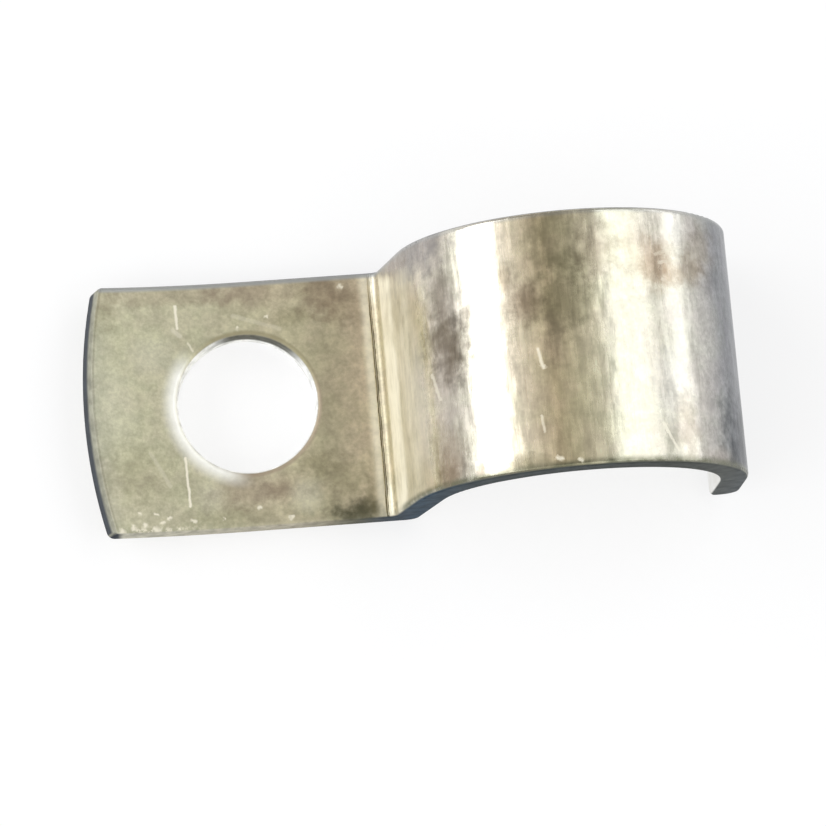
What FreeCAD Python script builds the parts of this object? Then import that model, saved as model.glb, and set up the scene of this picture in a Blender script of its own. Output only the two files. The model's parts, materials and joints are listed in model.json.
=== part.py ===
import FreeCAD, Part
import math
import os

# One-hole conduit strap, folded from one length of heavy steel strip.
# The foot lies on the wall and takes one bolt. The saddle goes over the conduit
# and its leg comes down on the far side, a little short of the wall.
# Units are millimetres. The origin is the centre of the bolt hole, in the plane
# of the foot's underside. +X runs from the hole to the saddle, +Y across the
# strip and +Z away from the wall.

# Strip
strip_width = 19.0
strip_thickness = 2.25
edge_round = 0.35               # blanked edges, tumbled before plating

# Foot
hole_to_free_end = 12.3         # along the middle of the sheet
hole_to_crease = 10.45
free_end_radius = 38.0          # the end is cut to a shallow convex arc
free_end_corner = 0.6
bow_radius = 46.0               # the foot curls up from the hole to its free end

# Bolt hole
hole_diameter = 10.5
hole_roll = 0.45                # the punch draws the upper rim in

# Fold between foot and wall, struck to a tight corner
fold_inner_radius = 0.5
fold_outer_radius = 1.2
groove_width = 0.2              # line struck by the punch's edge along the fold
groove_depth = 0.07

# Saddle
saddle_inner_radius = 10.4
saddle_centre_height = 6.6
wall_lean = 10.0                # degrees from upright

# Leg
leg_flare = 2.0                 # degrees from upright, away from the saddle
leg_end_height = 1.0            # the inner corner's height above the wall
leg_end_outer_round = 1.5
leg_end_inner_round = 0.5

# Worked out from the sizes above
half_width = strip_width / 2
lean = math.radians(wall_lean)
flare = math.radians(leg_flare)
saddle_outer_radius = saddle_inner_radius + strip_thickness
wall_rise = saddle_centre_height + saddle_outer_radius * math.sin(lean) - strip_thickness
wall_run = wall_rise * math.tan(lean)
saddle_centre_x = hole_to_crease + wall_run + saddle_outer_radius * math.cos(lean)
bow_top_radius = bow_radius - strip_thickness
bow_angle = hole_to_free_end / (bow_radius - strip_thickness / 2)
bow_spare_angle = bow_angle + strip_thickness / bow_top_radius


def point(x, z):
    """A point on the near side of the strip, where the section is drawn."""
    return FreeCAD.Vector(x, -half_width, z)


def on_circle(centre, radius, angle):
    return point(centre.x + radius * math.cos(angle), centre.z + radius * math.sin(angle))


def line(start, end):
    return Part.LineSegment(start, end).toShape()


def arc_about(centre, radius, first, last):
    """The arc from one angle to another, both in radians about the strip's width."""
    middle = on_circle(centre, radius, (first + last) / 2)
    return Part.Arc(on_circle(centre, radius, first), middle, on_circle(centre, radius, last)).toShape()


def corner_arc(before, corner, after, radius):
    """The arc that rounds a corner between two straight runs, as start, edge and end."""
    back = (before - corner).normalize()
    on = (after - corner).normalize()
    half_angle = back.getAngle(on) / 2
    reach = radius / math.tan(half_angle)
    bisector = (back + on).normalize()
    start = corner + back * reach
    end = corner + on * reach
    middle = corner + bisector * (radius / math.sin(half_angle) - radius)
    return start, Part.Arc(start, middle, end).toShape(), end


def leg_point(radius, length):
    """A point down the leg, on its inner or outer face."""
    top = on_circle(point(saddle_centre_x, saddle_centre_height), radius, flare)
    return point(top.x + length * math.sin(flare), top.z - length * math.cos(flare))


def section_wire():
    """The strap seen from the side: over the top from free end to leg, and back below."""
    saddle = point(saddle_centre_x, saddle_centre_height)
    bow_centre = point(0, bow_radius)
    down = -math.pi / 2
    wall_angle = math.pi - lean

    bow_end_top = on_circle(bow_centre, bow_top_radius, down - bow_spare_angle)
    bow_end_below = on_circle(bow_centre, bow_radius, down - bow_spare_angle)
    foot_top = point(0, strip_thickness)
    foot_below = point(0, 0)
    crease = point(hole_to_crease, strip_thickness)
    wall_top = on_circle(saddle, saddle_outer_radius, wall_angle)
    wall_inside = on_circle(saddle, saddle_inner_radius, wall_angle)
    heel = point(wall_inside.x - wall_inside.z * math.tan(lean), 0)

    inner_leg_top = leg_point(saddle_inner_radius, 0)
    leg_length = (inner_leg_top.z - leg_end_height) / math.cos(flare)
    toe_outer = leg_point(saddle_outer_radius, leg_length)
    toe_inner = leg_point(saddle_inner_radius, leg_length)
    outer_leg_top = leg_point(saddle_outer_radius, 0)

    fold_in = corner_arc(foot_top, crease, wall_top, fold_inner_radius)
    fold_out = corner_arc(wall_inside, heel, foot_below, fold_outer_radius)
    toe_out = corner_arc(outer_leg_top, toe_outer, toe_inner, leg_end_outer_round)
    toe_in = corner_arc(toe_outer, toe_inner, inner_leg_top, leg_end_inner_round)

    edges = [
        arc_about(bow_centre, bow_top_radius, down - bow_spare_angle, down),
        line(foot_top, fold_in[0]),
        fold_in[1],
        line(fold_in[2], wall_top),
        arc_about(saddle, saddle_outer_radius, wall_angle, flare),
        line(outer_leg_top, toe_out[0]),
        toe_out[1],
        line(toe_out[2], toe_in[0]),
        toe_in[1],
        line(toe_in[2], inner_leg_top),
        arc_about(saddle, saddle_inner_radius, flare, wall_angle),
        line(wall_inside, fold_out[0]),
        fold_out[1],
        line(fold_out[2], foot_below),
        arc_about(bow_centre, bow_radius, down, down - bow_spare_angle),
        line(bow_end_below, bow_end_top),
    ]
    return Part.Wire(edges)


def folded_strip():
    return Part.Face(section_wire()).extrude(FreeCAD.Vector(0, strip_width, 0))


def free_end_frame():
    """Where the free end's crown lies in the middle of the sheet, with its outward and upward directions."""
    radius = bow_radius - strip_thickness / 2
    crown = FreeCAD.Vector(-radius * math.sin(bow_angle), 0, bow_radius - radius * math.cos(bow_angle))
    outward = FreeCAD.Vector(-math.cos(bow_angle), 0, math.sin(bow_angle))
    upward = FreeCAD.Vector(math.sin(bow_angle), 0, math.cos(bow_angle))
    return crown, outward, upward


def free_end_waste():
    """What the blanking die takes off beyond the convex end, square to the sheet."""
    crown, outward, upward = free_end_frame()
    depth = 4 * strip_thickness
    reach = 2 * half_width + depth
    base = crown - upward * (depth / 2)
    keep = Part.makeCylinder(free_end_radius, depth, base - outward * free_end_radius, upward)
    across = FreeCAD.Vector(0, reach, 0)
    inner = base - outward * (strip_width / 4)
    outer = base + outward * depth
    outline = [inner - across, outer - across, outer + across, inner + across, inner - across]
    block = Part.Face(Part.makePolygon(outline)).extrude(upward * depth)
    return block.cut(keep)


def nearest_edges(shape, places):
    """The edge that passes nearest to each of the given places."""
    found = []
    for place in places:
        mark = Part.Vertex(place)
        found.append(min(shape.Edges, key=lambda edge: edge.distToShape(mark)[0]))
    return found


def round_free_end_corners(strap):
    crown, outward, upward = free_end_frame()
    drop = free_end_radius - math.sqrt(free_end_radius ** 2 - half_width ** 2)
    setback = crown - outward * drop
    corners = [setback + FreeCAD.Vector(0, side * half_width, 0) for side in (-1, 1)]
    return strap.makeFillet(free_end_corner, nearest_edges(strap, corners))


def round_outline(strap):
    """Round the whole outline. The edges run into each other, so one on the foot brings all the rest."""
    middle_of_foot = FreeCAD.Vector(hole_to_crease / 2, -half_width, strip_thickness)
    return strap.makeFillet(edge_round, nearest_edges(strap, [middle_of_foot]))


def punch_bolt_hole(strap):
    radius = hole_diameter / 2
    height = bow_radius / 2
    punch = Part.makeCylinder(radius, height, FreeCAD.Vector(0, 0, -height / 2))
    pierced = strap.cut(punch)
    rim = FreeCAD.Vector(radius, 0, strip_thickness)
    return pierced.makeFillet(hole_roll, nearest_edges(pierced, [rim]))


def strike_groove(strap):
    """The fine line across the foot where the fold begins."""
    radius = (groove_width ** 2 / 4 + groove_depth ** 2) / (2 * groove_depth)
    groove_x = hole_to_crease - fold_inner_radius / math.tan((math.pi / 2 + lean) / 2)
    start = FreeCAD.Vector(groove_x, -strip_width, strip_thickness + radius - groove_depth)
    tool = Part.makeCylinder(radius, 2 * strip_width, start, FreeCAD.Vector(0, 1, 0))
    return strap.cut(tool)


def make_strap():
    strap = folded_strip().cut(free_end_waste())
    strap = round_free_end_corners(strap)
    strap = round_outline(strap)
    strap = punch_bolt_hole(strap)
    strap = strike_groove(strap)
    return strap.Solids[0]


os.makedirs("parts", exist_ok=True)
strap = make_strap()
strap.exportStep("parts/strap.step")
print("strap", "valid" if strap.isValid() else "NOT VALID", "volume", round(strap.Volume, 2), "mm3")
print("box", strap.BoundBox)
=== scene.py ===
import bpy
import json
import math
from mathutils import Matrix, Vector


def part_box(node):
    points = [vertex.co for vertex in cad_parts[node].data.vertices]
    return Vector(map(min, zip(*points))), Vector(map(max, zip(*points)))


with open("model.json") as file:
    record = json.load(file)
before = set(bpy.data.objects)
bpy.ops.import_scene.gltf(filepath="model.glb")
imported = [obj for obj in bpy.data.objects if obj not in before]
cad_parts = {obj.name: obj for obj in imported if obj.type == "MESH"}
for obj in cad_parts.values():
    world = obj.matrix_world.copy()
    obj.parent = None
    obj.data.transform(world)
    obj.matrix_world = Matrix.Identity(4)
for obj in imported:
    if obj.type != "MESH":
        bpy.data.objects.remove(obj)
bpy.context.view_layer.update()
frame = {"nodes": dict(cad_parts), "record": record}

MM = 0.001

# Sizes of the strap, in millimetres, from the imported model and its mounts
low_corner, high_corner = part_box("strap")
free_end_x = low_corner.x / MM
leg_outer_x = high_corner.x / MM
mounts = {mount["name"]: mount for mount in frame["record"]["mounts"]}
hole_radius = mounts["bolt_hole"]["dims"]["r_mm"]
saddle_inner = mounts["saddle"]["dims"]["r_mm"]
saddle_place = [metres / MM for metres in mounts["saddle"]["pos_m"]]
saddle_x, saddle_z = saddle_place[0], saddle_place[2]
sheet = high_corner.z / MM - saddle_z - saddle_inner
saddle_outer = saddle_inner + sheet

# The wall leans towards the saddle and meets the foot's upper face at the crease
wall_lean = math.radians(10.0)
wall_rise = saddle_z + saddle_outer * math.sin(wall_lean) - sheet
crease_x = saddle_x - saddle_outer * math.cos(wall_lean) - wall_rise * math.tan(wall_lean)

# Which way the upper face looks at the curled free end
end_curl = math.radians(15.7)
END_UP = (math.sin(end_curl), 0.0, math.cos(end_curl))

# Camera: its place in millimetres, and which way its picture's right and top look
CAMERA_PLACE = Vector((-15.933, -58.297, 310.436)) * MM
CAMERA_RIGHT = Vector((0.99335, -0.08684, 0.07564))
CAMERA_UP = Vector((0.07144, 0.97981, 0.18672))
CAMERA_LENS = 180.5
CAMERA_SENSOR = 36.0
CAMERA_NEAREST = 0.01

# Lamps, sky and floor, in metres
LAMP_DISTANCE = 0.6
LAMP_REACH = 1.1
LAMP_SHIFT = 0.12
LAMP_WHITE = (0.98, 1.0, 1.04)
WORLD_WHITE = (1.0, 0.98, 0.95, 1)
WORLD_STRENGTH = 0.45
FLOOR_HALF = 1.5
FLOOR_WHITE = (0.97, 0.97, 0.97, 1)
SHADOW_FADE = 0.7


def add_camera():
    camera_data = bpy.data.cameras.new("camera")
    camera_data.lens = CAMERA_LENS
    camera_data.sensor_width = CAMERA_SENSOR
    camera_data.clip_start = CAMERA_NEAREST
    camera = bpy.data.objects.new("camera", camera_data)
    bpy.context.scene.collection.objects.link(camera)
    back = CAMERA_RIGHT.cross(CAMERA_UP).normalized()
    up = back.cross(CAMERA_RIGHT).normalized()
    right = up.cross(back)
    turn = Matrix((right, up, back)).transposed().to_4x4()
    camera.matrix_world = Matrix.Translation(CAMERA_PLACE) @ turn
    bpy.context.scene.camera = camera


def add_softbox(name, tilt, spread, radiance, bearing=0.0, shift=LAMP_SHIFT):
    """A lamp tilted from overhead towards +X, then turned. The strap sees it as wide as the spread.

    All angles are in degrees.
    """
    width = 2 * LAMP_DISTANCE * math.tan(math.radians(spread / 2))
    lamp_data = bpy.data.lights.new(name, "AREA")
    lamp_data.shape = "RECTANGLE"
    lamp_data.size = width
    lamp_data.size_y = LAMP_REACH
    lamp_data.energy = radiance * math.pi * width * LAMP_REACH
    lamp_data.color = LAMP_WHITE
    lamp = bpy.data.objects.new(name, lamp_data)
    bpy.context.scene.collection.objects.link(lamp)
    tilted = Matrix.Rotation(math.radians(tilt), 4, "Y")
    turn = Matrix.Rotation(math.radians(bearing), 4, "Z") @ tilted
    lamp.matrix_world = Matrix.Translation(turn @ Vector((0, shift, LAMP_DISTANCE))) @ turn


def add_lamps():
    """Long softboxes on both sides of the strap, which its bend mirrors as bright bands."""
    add_softbox("lamp_left", tilt=-61.5, spread=26, radiance=3.2)
    add_softbox("lamp_left_fill", tilt=-36, spread=26, radiance=0.35)
    add_softbox("lamp_right_high", tilt=40, spread=32, radiance=1.35)
    add_softbox("lamp_right_low", tilt=75, spread=18, radiance=1.55)
    add_softbox("lamp_front", tilt=50, spread=40, radiance=0.55, bearing=-90, shift=0.0)


def add_world():
    world = bpy.data.worlds.new("world")
    bpy.context.scene.world = world
    world.use_nodes = True
    background = world.node_tree.nodes["Background"]
    background.inputs["Color"].default_value = WORLD_WHITE
    background.inputs["Strength"].default_value = WORLD_STRENGTH


class Nodes:
    """Adds shader nodes to one material. A number sets a socket, and a socket is linked to it."""

    def __init__(self, name):
        self.material = bpy.data.materials.new(name)
        self.material.use_nodes = True
        self.tree = self.material.node_tree
        self.shader = self.tree.nodes["Principled BSDF"]

    def feed(self, socket, value):
        if isinstance(value, bpy.types.NodeSocket):
            self.tree.links.new(value, socket)
        else:
            socket.default_value = value

    def add(self, kind, values, **settings):
        node = self.tree.nodes.new("ShaderNode" + kind)
        for name, setting in settings.items():
            setattr(node, name, setting)
        for name, value in values.items():
            self.feed(node.inputs[name], value)
        return node

    def math(self, operation, first, second=0.0, third=0.0):
        return self.add("Math", {0: first, 1: second, 2: third}, operation=operation).outputs[0]

    def product(self, first, *others):
        for other in others:
            first = self.math("MULTIPLY", first, other)
        return first

    def total(self, first, *others):
        for other in others:
            first = self.math("ADD", first, other)
        return first

    def highest(self, first, *others):
        for other in others:
            first = self.math("MAXIMUM", first, other)
        return first

    def rise(self, value, start, end, low=0.0, high=1.0):
        """Goes smoothly from low to high as the value goes from start to end."""
        inputs = {"Value": value, "From Min": start, "From Max": end, "To Min": low, "To Max": high}
        return self.add("MapRange", inputs, interpolation_type="SMOOTHSTEP").outputs[0]

    def band(self, value, start, end, soft):
        """One between start and end, and zero a soft margin outside them."""
        up = self.rise(value, start - soft, start + soft)
        down = self.rise(value, end - soft, end + soft, low=1.0, high=0.0)
        return self.product(up, down)

    def ramp(self, value, stops):
        """A colour that passes through the given ones, each at its own value."""
        first, last = stops[0][0], stops[-1][0]
        share = self.math("DIVIDE", self.math("SUBTRACT", value, first), last - first)
        node = self.add("ValToRGB", {0: share})
        elements = node.color_ramp.elements
        elements.remove(elements[0])
        elements[0].position = 0.0
        elements[0].color = stops[0][1]
        for place, colour in stops[1:]:
            elements.new((place - first) / (last - first)).color = colour
        return node.outputs[0]

    def blend(self, share, first, second, mode="MIX"):
        """Goes from the first colour to the second. The node's sockets for colours are 6, 7 and 2."""
        node = self.add("Mix", {}, data_type="RGBA", blend_type=mode)
        self.feed(node.inputs[0], share)
        self.feed(node.inputs[6], first)
        self.feed(node.inputs[7], second)
        return node.outputs[2]

    def weigh(self, share, first, second):
        """Goes from the first number to the second. The node's sockets for numbers are 2, 3 and 0."""
        node = self.add("Mix", {}, data_type="FLOAT")
        self.feed(node.inputs[0], share)
        self.feed(node.inputs[2], first)
        self.feed(node.inputs[3], second)
        return node.outputs[0]

    def vector(self, operation, first, second=(0.0, 0.0, 0.0)):
        return self.add("VectorMath", {0: first, 1: second}, operation=operation).outputs

    def scale(self, vector, factor):
        node = self.add("VectorMath", {0: vector}, operation="SCALE")
        self.feed(node.inputs["Scale"], factor)
        return node.outputs[0]

    def noise(self, vector, scale, detail=3.0, roughness=0.6):
        inputs = {"Vector": vector, "Scale": scale, "Detail": detail, "Roughness": roughness}
        return self.add("TexNoise", inputs).outputs[0]


def tone(red, green, blue):
    return (red, green, blue, 1.0)


def floor_paint():
    """White paint with the strap's shadow, which fades for the camera and for faces that mirror it."""
    paint = Nodes("floor_paint")
    paint.feed(paint.shader.inputs["Base Color"], FLOOR_WHITE)
    paint.feed(paint.shader.inputs["Roughness"], 1.0)
    paint.feed(paint.shader.inputs["Specular IOR Level"], 0.0)
    rays = paint.add("LightPath", {}).outputs
    seen = paint.highest(rays["Is Camera Ray"], rays["Is Glossy Ray"], rays["Is Transmission Ray"])
    glow = paint.add("Emission", {"Color": tone(1.0, 1.0, 1.0), "Strength": 1.0}).outputs[0]
    shares = {0: paint.product(seen, SHADOW_FADE), 1: paint.shader.outputs[0], 2: glow}
    surface = paint.add("MixShader", shares).outputs[0]
    paint.feed(paint.tree.nodes["Material Output"].inputs["Surface"], surface)
    return paint.material


def add_floor():
    mesh = bpy.data.meshes.new("floor")
    corners = [(x * FLOOR_HALF, y * FLOOR_HALF, 0) for x, y in ((-1, -1), (1, -1), (1, 1), (-1, 1))]
    mesh.from_pydata(corners, [], [(0, 1, 2, 3)])
    mesh.materials.append(floor_paint())
    floor = bpy.data.objects.new("floor", mesh)
    bpy.context.scene.collection.objects.link(floor)


# Plating tones along the strip, from the free end to the leg, each at its own x. They hold painted
# light and shade too:
# lighter on the wall and where the bend's highlights fall, near x 12.9, 15.1 and 24.6, and darker at
# the shoulder near x 14.1 and towards the leg's end
TONES_ALONG = [
    (free_end_x, tone(0.40, 0.40, 0.33)),
    (-11.2, tone(0.46, 0.45, 0.34)),
    (-9.5, tone(0.50, 0.485, 0.345)),
    (-3.0, tone(0.52, 0.50, 0.355)),
    (3.0, tone(0.57, 0.525, 0.365)),
    (6.2, tone(0.46, 0.42, 0.29)),
    (9.0, tone(0.60, 0.52, 0.38)),
    (crease_x, tone(0.66, 0.60, 0.44)),
    (11.3, tone(0.60, 0.55, 0.42)),
    (12.2, tone(0.53, 0.475, 0.385)),
    (12.9, tone(0.80, 0.74, 0.62)),
    (13.4, tone(0.65, 0.60, 0.52)),
    (14.1, tone(0.50, 0.46, 0.40)),
    (15.1, tone(0.82, 0.78, 0.67)),
    (18.4, tone(0.68, 0.62, 0.49)),
    (21.4, tone(0.76, 0.64, 0.42)),
    (22.8, tone(0.84, 0.76, 0.52)),
    (24.6, tone(0.91, 0.86, 0.64)),
    (25.7, tone(0.76, 0.74, 0.60)),
    (27.0, tone(0.69, 0.668, 0.545)),
    (31.5, tone(0.66, 0.64, 0.57)),
    (33.2, tone(0.43, 0.42, 0.40)),
    (34.6, tone(0.262, 0.267, 0.278)),
    (leg_outer_x - 0.9, tone(0.140, 0.148, 0.170)),
    (leg_outer_x, tone(0.100, 0.107, 0.126)),
]

# Tones of the cut edges, likewise: the duller cut steel, with painted shade that makes them near black
# along the bend and painted light that makes them paler at the free end
EDGES_ALONG = [
    (free_end_x, tone(0.46, 0.45, 0.37)),
    (-6.0, tone(0.45, 0.43, 0.345)),
    (3.0, tone(0.40, 0.37, 0.29)),
    (5.2, tone(0.28, 0.26, 0.195)),
    (7.5, tone(0.11, 0.11, 0.08)),
    (9.5, tone(0.06, 0.07, 0.08)),
    (12.0, tone(0.045, 0.067, 0.09)),
    (16.0, tone(0.052, 0.062, 0.064)),
    (30.0, tone(0.057, 0.061, 0.056)),
    (34.2, tone(0.088, 0.094, 0.088)),
    (leg_outer_x, tone(0.095, 0.105, 0.110)),
]

# Tarnish and tints of the plating, and among them the painted shade of the mauve and groove tones and
# the painted highlight of the bloom
GREEN_TINT = tone(0.99, 1.0, 0.96)
ROSE_TINT = tone(1.01, 0.99, 0.985)
ROSE_BROWN = tone(0.38, 0.30, 0.22)
BROWN = tone(0.30, 0.23, 0.155)
RUST = tone(0.44, 0.32, 0.21)
DARK_OLIVE = tone(0.27, 0.24, 0.14)
SOOT = tone(0.105, 0.10, 0.06)
SMUDGE = tone(0.185, 0.15, 0.11)
MAUVE_SHADE = tone(0.36, 0.335, 0.32)
PALE = tone(0.66, 0.64, 0.50)
PALE_ZINC = tone(0.74, 0.725, 0.66)
# A pale bloom, painted near white as a painted highlight on the lower wall and the lip
BLOOM_AND_HIGHLIGHT = tone(0.97, 0.915, 0.73)
SCRATCH = tone(0.90, 0.85, 0.70)
# Painted shade in the groove beside the fold
GROOVE_SHADE = tone(0.15, 0.13, 0.075)

# Rims, cut faces and the inside: painted shade on the rims, on the cut faces over their duller steel,
# and on the bore's far side; a painted highlight on the hole's rim; and the inside painted near white,
# a painted reflection of the white floor
FAR_RIM_SHADE = tone(0.385, 0.395, 0.39)
NEAR_RIM_SHADE = tone(0.15, 0.155, 0.10)
END_RIM_SHADE = tone(0.30, 0.295, 0.23)
HOLE_RIM_HIGHLIGHT = tone(1.0, 1.0, 0.94)
FAR_SIDE = tone(0.20, 0.205, 0.23)
SLATE = tone(0.035, 0.042, 0.052)
BORE_SHADE = tone(0.13, 0.13, 0.11)
INSIDE = tone(0.90, 0.90, 0.87)
INSIDE_DULL = tone(0.80, 0.79, 0.75)

# Stains, with some painted light and shade among them: middle along and across the strip, half length,
# half width, strength, tone
STAINS = [
    (-10.7, 8.2, 1.4, 1.9, 0.45, DARK_OLIVE),
    (-9.7, 0.4, 1.3, 2.6, 0.25, PALE),
    (-6.9, 4.0, 1.8, 1.5, 0.35, PALE),
    (-8.6, -5.4, 2.6, 2.2, 0.34, DARK_OLIVE),
    (-5.0, 8.6, 6.0, 0.8, 0.40, ROSE_BROWN),
    (0.8, 8.6, 3.4, 1.2, 0.55, ROSE_BROWN),
    (0.3, -6.8, 3.6, 1.4, 0.62, ROSE_BROWN),
    (-1.0, -8.6, 3.6, 0.9, 0.35, DARK_OLIVE),
    (3.9, -7.3, 1.3, 1.2, 0.45, PALE),
    (1.9, -6.7, 1.1, 0.9, 0.35, BROWN),
    (-3.3, -6.9, 1.0, 1.2, 0.30, PALE),
    (4.9, -4.9, 1.5, 1.0, 0.50, DARK_OLIVE),
    (6.6, -6.4, 1.6, 2.2, 0.40, DARK_OLIVE),
    (6.3, 8.2, 1.9, 1.9, 0.65, BROWN),
    (3.9, 6.5, 1.6, 0.7, 0.40, DARK_OLIVE),
    (8.0, 7.3, 2.2, 1.8, 0.45, BROWN),
    (6.6, 1.0, 1.0, 4.5, 0.15, ROSE_BROWN),
    (8.0, -8.9, 2.3, 1.0, 0.97, SOOT),
    (9.4, -7.6, 1.2, 1.8, 0.50, DARK_OLIVE),
    # Painted shade on the far shoulder, where the bend mirrors dark surroundings
    (12.5, 9.0, 2.2, 2.2, 0.90, MAUVE_SHADE),
    (11.2, 8.2, 0.8, 0.9, 0.40, RUST),
    (14.3, 1.1, 1.2, 2.2, 0.85, SMUDGE),
    (14.4, -0.8, 1.0, 1.4, 0.75, SMUDGE),
    (14.1, 4.6, 0.8, 1.8, 0.50, SMUDGE),
    (14.3, 3.0, 0.8, 1.2, 0.28, SMUDGE),
    (15.7, 2.8, 0.45, 0.9, 0.50, SMUDGE),
    (15.8, -8.8, 0.4, 0.8, 0.60, BROWN),
    (14.1, -7.4, 0.9, 1.9, 0.45, ROSE_BROWN),
    (13.1, 1.2, 0.5, 2.2, 0.15, ROSE_BROWN),
    (13.3, -6.5, 0.6, 2.6, 0.40, ROSE_BROWN),
    (13.7, -8.7, 0.8, 1.4, 0.80, BROWN),
    # Painted highlight at both ends of the fold, in the next two rows
    (10.15, -8.5, 0.3, 1.6, 0.90, BLOOM_AND_HIGHLIGHT),
    (10.15, 8.4, 0.3, 1.5, 0.90, BLOOM_AND_HIGHLIGHT),
    (18.4, -8.8, 1.2, 0.7, 0.60, DARK_OLIVE),
    (18.5, 4.8, 0.5, 1.1, 0.55, BROWN),
    (19.6, -8.9, 1.5, 0.6, 0.45, DARK_OLIVE),
    (20.2, 5.6, 0.9, 1.8, 0.20, BROWN),
    (19.9, 3.0, 1.2, 1.5, 0.80, BROWN),
    (20.4, 2.8, 0.9, 1.0, 0.40, BROWN),
    (22.3, 7.4, 1.7, 2.9, 0.50, DARK_OLIVE),
    (22.3, 3.0, 1.8, 2.8, 0.66, DARK_OLIVE),
    (21.6, -0.2, 0.9, 1.8, 0.40, ROSE_BROWN),
    (25.2, 6.4, 1.3, 2.2, 0.50, BROWN),
    (24.6, 8.7, 0.8, 0.9, 0.25, BROWN),
    (29.5, 5.3, 1.0, 1.8, 0.55, RUST),
    (28.8, 5.9, 1.8, 2.4, 0.25, RUST),
    (29.8, 4.9, 0.5, 0.9, 0.50, BROWN),
    (30.9, 4.6, 0.9, 0.9, 0.40, RUST),
    (32.5, 5.0, 1.0, 1.2, 0.50, BROWN),
    (30.6, 6.6, 0.7, 1.0, 0.35, BROWN),
    (29.9, -3.6, 1.2, 2.6, 0.50, PALE_ZINC),
    (31.7, 8.4, 0.8, 1.3, 0.75, PALE_ZINC),
    (29.6, -5.2, 0.8, 1.6, 0.15, PALE_ZINC),
    (31.0, -6.8, 0.9, 2.4, 0.42, BROWN),
    (33.8, -8.9, 1.6, 0.8, 0.25, BROWN),
    (33.4, 6.6, 1.2, 2.0, 0.35, BROWN),
    # Painted shade on the leg: the three slate rows, here and at the end of the table
    (34.6, 4.6, 0.8, 1.2, 0.30, SLATE),
    (33.2, 0.2, 1.2, 3.4, 0.25, PALE_ZINC),
    (34.4, -6.2, 0.6, 1.6, 0.08, SLATE),
    (36.2, -7.6, 1.8, 3.6, 0.92, SLATE),
]

# Scratches: start and end, each along and across the strip, then half width and strength
SCRATCHES = [
    ((-4.91, 7.85), (-4.86, 6.10), 0.10, 0.8),
    ((-5.20, 6.00), (-4.70, 5.50), 0.16, 0.35),
    ((-4.15, 4.90), (-3.80, 4.30), 0.08, 0.5),
    ((-5.01, -3.90), (-4.91, -7.60), 0.09, 0.85),
    ((-7.60, -3.40), (-6.30, -6.00), 0.14, 0.18),
    ((-0.58, 6.85), (2.90, 5.60), 0.16, 0.2),
    ((27.22, 4.90), (28.17, 4.35), 0.07, 0.4),
    ((25.30, 0.40), (25.89, -1.55), 0.06, 0.3),
    ((20.40, -0.65), (20.64, -1.90), 0.11, 0.65),
    ((20.26, -5.55), (20.35, -6.70), 0.09, 0.5),
    ((29.06, -6.60), (30.09, -8.60), 0.09, 0.4),
    ((29.75, 5.95), (31.77, 6.65), 0.12, 0.22),
    ((30.00, 5.35), (31.57, 5.65), 0.11, 0.28),
    ((30.10, 4.10), (31.12, 3.60), 0.11, 0.25),
    ((13.15, -0.90), (13.55, -2.90), 0.08, 0.4),
]

# Nicks and flecks of bare zinc: middle along and across the strip, and radius
FLECKS = [
    (-10.20, -9.35, 0.26), (-9.30, -9.00, 0.20), (-8.72, -7.95, 0.14), (-8.48, -8.95, 0.18),
    (-7.60, -9.30, 0.26), (-7.47, -8.10, 0.11), (-7.10, -8.80, 0.15), (-6.46, -8.50, 0.15),
    (-4.72, -8.75, 0.15), (-5.90, -9.20, 0.13), (-0.24, 5.90, 0.14), (0.30, -8.00, 0.15),
    (-2.40, -8.70, 0.10), (2.00, 6.65, 0.12), (2.65, -9.00, 0.14), (7.75, 8.50, 0.16),
    (21.27, -8.75, 0.18), (22.70, -9.05, 0.14), (20.68, -1.95, 0.20),
]
FLECK_STRENGTH = 0.75

# Values of a noise: nearly all of them, and the lower ones that make patches
NOISE_SPAN = (0.3, 0.7)
NOISE_PATCHES = (0.3, 0.6)

# Heights of the relief in millimetres, each for the foot and for the bend
WAVE_HEIGHTS = (0.03, 0.09)
STREAK_HEIGHTS = (0.0, 0.006)
GRAIN_HEIGHTS = (0.012, 0.0012)
DENT_HEIGHTS = (0.012, 0.004)
LIP_HEIGHT = 0.05
RELIEF_IN_FOLD = 0.15

# How metallic and how rough the faces are
METAL_FOOT = 0.6
METAL_BEND = 1.0
METAL_WORN = 0.35
ROUGH_FOOT = 0.46
ROUGH_BEND = (0.22, 0.30)
ROUGH_WORN = 0.58
ROUGH_INSIDE = 0.3
SPECULAR_PLATED = 0.2
SPECULAR_SIDE = 0.02


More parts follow.
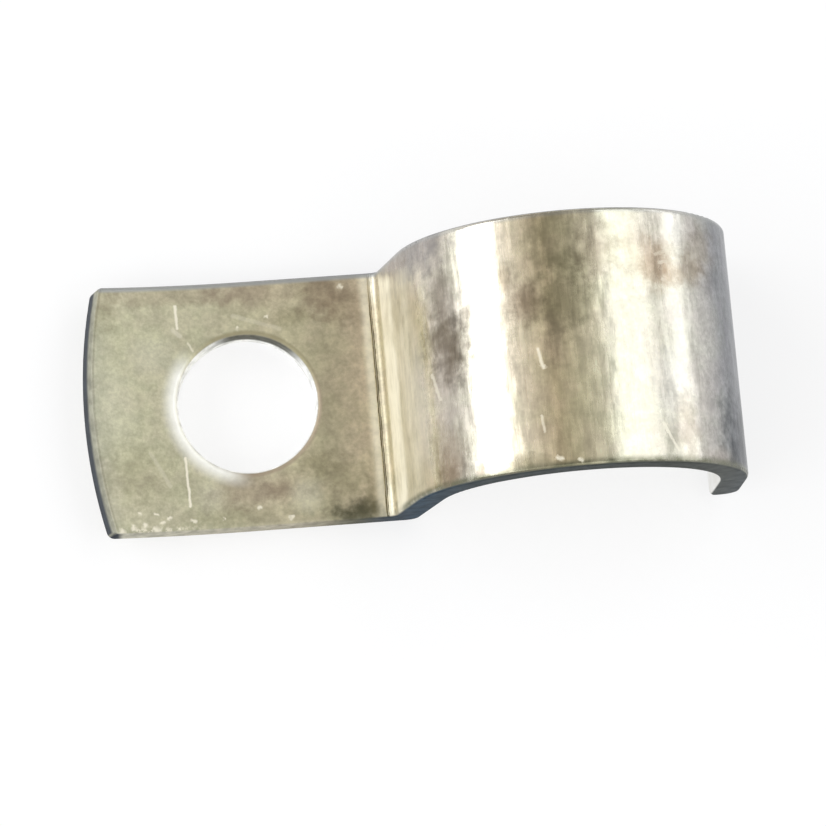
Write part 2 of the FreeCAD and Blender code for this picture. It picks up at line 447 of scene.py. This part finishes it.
class PlatedSteel(Nodes):
    """Yellow-passivated zinc on steel.

    Its places, noises and regions are shared by colour, gloss and relief. A region is one
    where it lies and zero elsewhere. All places are in millimetres.
    """

    def __init__(self):
        super().__init__("plated_steel")
        self.read_places()
        self.spread_noises()
        self.mark_bend_and_fold()
        self.mark_bloom_and_highlight()
        self.mark_sides()
        self.mark_free_end()
        self.mark_hole()
        self.mark_leg_end_and_inside()
        self.mark_wear()
        self.edge = self.highest(self.side, self.end_rim, self.bore, self.leg_end)
        self.feed(self.shader.inputs["Base Color"], self.colour())
        self.set_gloss()
        self.feed(self.shader.inputs["Normal"], self.relief())

    def vary(self, noise, low, high):
        """Wanders between low and high with the noise."""
        return self.rise(noise, *NOISE_SPAN, low=low, high=high)

    def read_places(self):
        coordinates = self.add("TexCoord", {})
        self.place = self.scale(coordinates.outputs["Object"], 1 / MM)
        parts = self.add("SeparateXYZ", {0: self.place}).outputs
        self.x, self.y, self.z = parts[0], parts[1], parts[2]
        self.facing = coordinates.outputs["Normal"]
        facing = self.add("SeparateXYZ", {0: self.facing}).outputs
        self.facing_x, self.facing_y = facing[0], facing[1]
        self.flat = self.add("CombineXYZ", {0: self.x, 1: self.y}).outputs[0]
        self.radius = self.vector("LENGTH", self.flat)["Value"]

    def spread_noises(self):
        """Grain, mottle, clouds of tone, streaks across the strip and long waves in the sheet."""
        self.grain = self.noise(self.place, scale=3.2, roughness=0.65)
        self.mottle = self.noise(self.place, scale=0.95)
        self.clouds = self.noise(self.place, scale=0.4)
        across_strip = self.vector("MULTIPLY", self.place, (1.0, 0.16, 1.0))[0]
        self.streaks = self.noise(across_strip, scale=2.0, roughness=0.65)
        long_waves = self.vector("MULTIPLY", self.place, (1.0, 0.45, 1.0))[0]
        self.waves = self.noise(long_waves, scale=0.45, detail=2.0, roughness=0.5)

    def mark_bend_and_fold(self):
        """All that is bent up from the foot, the tight fold, and the groove beside it."""
        self.bent = self.rise(self.x, crease_x - 0.2, crease_x + 0.8)
        self.fold = self.product(self.rise(self.x, 9.95, 10.1), self.rise(self.z, 3.4, 3.0))
        wander = self.vary(self.mottle, -0.05, 0.05)
        in_groove = self.band(self.math("ADD", self.x, wander), 9.86, 10.05, soft=0.03)
        on_foot = self.rise(self.z, 2.7, 2.5)
        faint_at_far_side = self.rise(self.y, 8.6, 6.0, low=0.1)
        self.groove = self.product(in_groove, on_foot, faint_at_far_side)

    def mark_bloom_and_highlight(self):
        """A pale, rougher bloom on the lower wall, painted near white as a painted highlight, and a
        painted highlight on the lip that lies before the groove.
        """
        above_fold = self.rise(self.z, 2.9, 3.5)
        thinner_above = self.rise(self.z, 5.6, 7.4, low=1.0, high=0.58)
        below_bend = self.rise(self.z, 9.6, 12.6, low=1.0, high=0.0)
        slanted_y = self.math("MULTIPLY_ADD", self.z, 0.16, self.y)
        off_far_side = self.rise(slanted_y, 9.9, 8.7, low=0.1)
        along_wall = self.band(self.x, crease_x + 0.1, crease_x + 3.4, soft=0.2)
        on_wall = self.product(above_fold, thinner_above, below_bend, off_far_side, along_wall)
        clouded = self.rise(self.clouds, 0.3, 0.62, low=0.75, high=1.05)
        streaked = self.rise(self.streaks, *NOISE_PATCHES, low=0.75)
        lip_begins = self.rise(self.x, 8.9, 9.6)
        lip_ends = self.rise(self.x, 9.78, 9.92, low=1.0, high=0.0)
        faint_at_near_side = self.rise(self.y, -9.0, -7.0, low=0.35, high=0.6)
        mottled = self.rise(self.mottle, 0.35, 0.6, low=0.75)
        on_lip = self.product(lip_begins, lip_ends, faint_at_near_side, mottled)
        self.bloom_and_highlight = self.highest(self.product(on_wall, clouded, streaked), on_lip)

    def mark_sides(self):
        """The two cut sides, and the rims between them and the upper face. The rims are darkened as
        painted shade.
        """
        self.far_side = self.rise(self.facing_y, 0.6, 0.95)
        self.side = self.highest(self.rise(self.facing_y, -0.55, -0.9), self.far_side)
        near_rim = self.rise(self.y, -8.8, -9.3)
        mottled = self.rise(self.mottle, *NOISE_PATCHES, low=0.55)
        self.near_rim = self.product(near_rim, self.weigh(self.bent, 0.15, 0.9), mottled)
        far_rim = self.rise(self.y, 8.95, 9.25)
        self.far_rim = self.product(far_rim, self.weigh(self.bent, 0.9, 0.5))

    def mark_free_end(self):
        """The free end's rim and cut face, and the lower part of that face. The rim and the lower part
        get painted shade.
        """
        outward = self.math("MULTIPLY", self.facing_x, -1.0)
        at_end = self.rise(self.x, -10.0, -10.8)
        self.end_rim = self.product(self.rise(outward, 0.15, 0.45), at_end)
        depth = self.vector("DOT_PRODUCT", self.place, END_UP)["Value"]
        lower_part = self.rise(depth, 0.25, -0.55)
        self.end_face = self.product(self.rise(outward, 0.7, 0.88), lower_part, self.end_rim)

    def mark_hole(self):
        """The hole's wall and rim, and a painted highlight on the rim, towards the free end."""
        near_hole = self.rise(self.x, 6.6, 6.4)
        on_wall = self.rise(self.radius, hole_radius + 0.2, hole_radius + 0.06)
        on_rim = self.band(self.radius, hole_radius, hole_radius + 0.42, soft=0.12)
        self.bore = self.product(on_wall, near_hole)
        self.rim = self.product(on_rim, near_hole)
        around_hole = self.rise(self.radius, hole_radius + 1.5, hole_radius + 0.1)
        towards_glow = self.vector("DOT_PRODUCT", self.flat, (-0.93, -0.37, 0.0))["Value"]
        on_bright_part = self.rise(towards_glow, 1.9, 4.1)
        mottled = self.rise(self.mottle, *NOISE_PATCHES, low=0.9)
        self.glow = self.product(around_hole, on_bright_part, mottled)

    def mark_leg_end_and_inside(self):
        """The leg's end, and the faces that look towards the saddle's axis, which are painted near
        white as a painted reflection of the white floor.
        """
        self.leg_end = self.product(self.rise(self.z, 1.6, 1.1), self.rise(self.x, 30.0, 31.0))
        from_place = self.vector("SUBTRACT", saddle_place, self.place)[0]
        across_axis = self.vector("MULTIPLY", from_place, (1.0, 0.0, 1.0))[0]
        to_axis = self.vector("NORMALIZE", across_axis)[0]
        inward = self.vector("DOT_PRODUCT", to_axis, self.facing)["Value"]
        self.inside = self.product(self.rise(inward, 0.45, 0.75), self.rise(self.x, 9.0, 9.2))

    def mark_wear(self):
        """Bare zinc on the upper face: the near corner by the free end, scratches and flecks."""
        noise = self.add("TexNoise", {"Vector": self.place, "Scale": 2.2}).outputs["Color"]
        centred = self.vector("SUBTRACT", noise, (0.5, 0.5, 0.5))[0]
        shakes = self.vector("MULTIPLY", centred, (1.0, 1.0, 0.0))[0]
        drawn = self.vector("ADD", self.flat, self.scale(shakes, 0.18))[0]
        chipped = self.vector("ADD", self.flat, self.scale(shakes, 0.7))[0]
        near_corner = self.product(self.rise(self.y, -8.9, -9.3), self.rise(self.x, -3.0, -8.0))
        worn_corner = self.product(near_corner, self.rise(self.grain, 0.5, 0.58), 0.6)
        scratches = [self.scratch(drawn, *scratch) for scratch in SCRATCHES]
        flecks = [self.fleck(chipped, *fleck) for fleck in FLECKS]
        upper_face = self.rise(self.z, 2.0, 2.1)
        self.wear = self.product(self.highest(worn_corner, *scratches, *flecks), upper_face)

    def scratch(self, place, start, end, half_width, strength):
        reach = Vector(end) - Vector(start)
        direction = (*reach.normalized(), 0.0)
        from_start = self.vector("SUBTRACT", place, (*start, 0.0))[0]
        along = self.vector("DOT_PRODUCT", from_start, direction)["Value"]
        within = self.math("MINIMUM", self.math("MAXIMUM", along, 0.0), reach.length)
        gap = self.vector("DISTANCE", from_start, self.scale(direction, within))["Value"]
        return self.rise(gap, half_width * 1.6, half_width * 0.4, high=strength)

    def fleck(self, place, middle_x, middle_y, radius):
        gap = self.vector("DISTANCE", place, (middle_x, middle_y, 0.0))["Value"]
        return self.rise(gap, radius * 1.7, radius * 0.3, high=FLECK_STRENGTH)

    def stained(self, colour):
        """The colour under soft oval stains, whose outlines the noises make ragged."""
        ragged = self.total(self.product(self.clouds, 1.1), self.product(self.mottle, 1.4))
        for middle_x, middle_y, length, width, strength, stain in STAINS:
            from_middle = self.vector("SUBTRACT", self.flat, (middle_x, middle_y, 0.0))[0]
            shares = self.vector("MULTIPLY", from_middle, (1 / length, 1 / width, 0.0))[0]
            reach = self.math("ADD", self.vector("LENGTH", shares)["Value"], ragged)
            colour = self.blend(self.rise(reach, 2.75, 1.5, high=strength), colour, stain)
        return colour

    def shading(self):
        """How far the noises lighten and darken the plating on the foot, the saddle and the leg."""
        on_foot = self.product(self.vary(self.mottle, 0.88, 1.11), self.vary(self.grain, 0.905, 1.085))
        clear_streaks = self.vary(self.streaks, 0.9, 1.1)
        faint_streaks = self.vary(self.streaks, 0.95, 1.05)
        streaks = self.weigh(self.rise(self.x, 27.0, 29.0), clear_streaks, faint_streaks)
        mottle = self.vary(self.mottle, 0.91, 1.08)
        on_saddle = self.product(streaks, mottle, self.vary(self.grain, 0.95, 1.05))
        on_leg = self.product(self.vary(self.mottle, 0.84, 1.16), self.vary(self.grain, 0.88, 1.12))
        on_bend = self.weigh(self.rise(self.x, 31.5, 33.5), on_saddle, on_leg)
        return self.weigh(self.bent, on_foot, on_bend)

    def bore_colour(self):
        """Painted near white as a painted reflection of the white floor, with painted shade only in
        the upper part of the far side.
        """
        upper_part = self.rise(self.z, 0.5, 1.2)
        far_part = self.rise(self.y, 2.4, 4.2)
        off_free_end = self.rise(self.x, -2.8, -0.8)
        return self.blend(self.product(upper_part, far_part, off_free_end), INSIDE, BORE_SHADE)

    def edge_colour(self):
        # The cut faces' duller steel with painted shade, darkest along the bend, on the lower free end
        # face and on the near side at the free end
        colour = self.ramp(self.x, EDGES_ALONG)
        colour = self.blend(self.far_side, colour, FAR_SIDE)
        colour = self.blend(self.end_rim, colour, END_RIM_SHADE)
        colour = self.blend(self.end_face, colour, SLATE)
        side_at_end = self.product(self.side, self.rise(self.x, -10.0, -10.6))
        colour = self.blend(side_at_end, colour, SLATE)
        colour = self.blend(self.bore, colour, self.bore_colour())
        return self.scale(colour, self.vary(self.mottle, 0.8, 1.25))

    def colour(self):
        colour = self.ramp(self.x, TONES_ALONG)
        tint = self.blend(self.rise(self.clouds, 0.38, 0.62), GREEN_TINT, ROSE_TINT)
        colour = self.stained(self.blend(1.0, colour, tint, "MULTIPLY"))
        colour = self.scale(colour, self.shading())
        # Painted highlight: the pale bloom on the lower wall and the lip
        colour = self.blend(self.bloom_and_highlight, colour, BLOOM_AND_HIGHLIGHT)
        # Painted shade in the groove
        colour = self.blend(self.product(self.groove, 0.9), colour, GROOVE_SHADE)
        # Painted shade along the near and far rims
        colour = self.blend(self.near_rim, colour, NEAR_RIM_SHADE)
        colour = self.blend(self.far_rim, colour, FAR_RIM_SHADE)
        # Painted shade on the hole's rim, except towards the free end
        hole_rim = self.product(self.rim, self.rise(self.x, -4.6, -1.5, high=0.75))
        rim_shade = self.blend(self.rise(self.y, 0.0, 3.0), ROSE_BROWN, DARK_OLIVE)
        colour = self.blend(hole_rim, colour, rim_shade)
        # Painted highlight on the hole's rim towards the free end
        colour = self.blend(self.glow, colour, HOLE_RIM_HIGHLIGHT)
        colour = self.blend(self.wear, colour, SCRATCH)
        # The cut faces with their painted shade
        colour = self.blend(self.edge, colour, self.edge_colour())
        # The inside painted near white, a painted reflection of the white floor
        inner = self.blend(self.rise(self.clouds, 0.35, 0.65), INSIDE, INSIDE_DULL)
        return self.blend(self.inside, colour, inner)

    def set_gloss(self):
        worn = self.highest(self.bloom_and_highlight, self.wear, self.edge)
        metal = self.weigh(self.bent, METAL_FOOT, METAL_BEND)
        metal = self.weigh(self.highest(worn, self.rim, self.glow), metal, METAL_WORN)
        metal = self.weigh(self.side, metal, 0.0)
        metal = self.weigh(self.inside, metal, METAL_BEND)
        self.feed(self.shader.inputs["Metallic"], metal)
        roughness = self.weigh(self.bent, ROUGH_FOOT, self.vary(self.streaks, *ROUGH_BEND))
        roughness = self.weigh(self.highest(worn, self.groove), roughness, ROUGH_WORN)
        roughness = self.weigh(self.inside, roughness, ROUGH_INSIDE)
        self.feed(self.shader.inputs["Roughness"], roughness)
        specular = self.weigh(self.side, SPECULAR_PLATED, SPECULAR_SIDE)
        self.feed(self.shader.inputs["Specular IOR Level"], specular)

    def relief(self):
        """All the relief as one height, in millimetres."""
        waves = self.product(self.waves, self.weigh(self.bent, *WAVE_HEIGHTS))
        streaks = self.product(self.streaks, self.weigh(self.bent, *STREAK_HEIGHTS))
        grain = self.product(self.grain, self.weigh(self.bent, *GRAIN_HEIGHTS))
        dents = self.product(self.mottle, self.weigh(self.bent, *DENT_HEIGHTS))
        calm = self.weigh(self.fold, 1.0, RELIEF_IN_FOLD)
        rough = self.product(self.total(waves, streaks, grain, dents), calm)
        lip_begins = self.rise(self.x, 9.2, 9.8)
        lip_ends = self.rise(self.x, 9.82, 9.95, low=1.0, high=0.0)
        height = self.total(rough, self.product(lip_begins, lip_ends, LIP_HEIGHT))
        return self.add("Bump", {"Strength": 1.0, "Distance": MM, "Height": height}).outputs[0]


def dress_strap():
    strap = frame["nodes"]["strap"]
    strap.data.materials.clear()
    strap.data.materials.append(PlatedSteel().material)


add_camera()
add_world()
add_lamps()
add_floor()
dress_strap()

bpy.context.scene.view_settings.view_transform = "Standard"
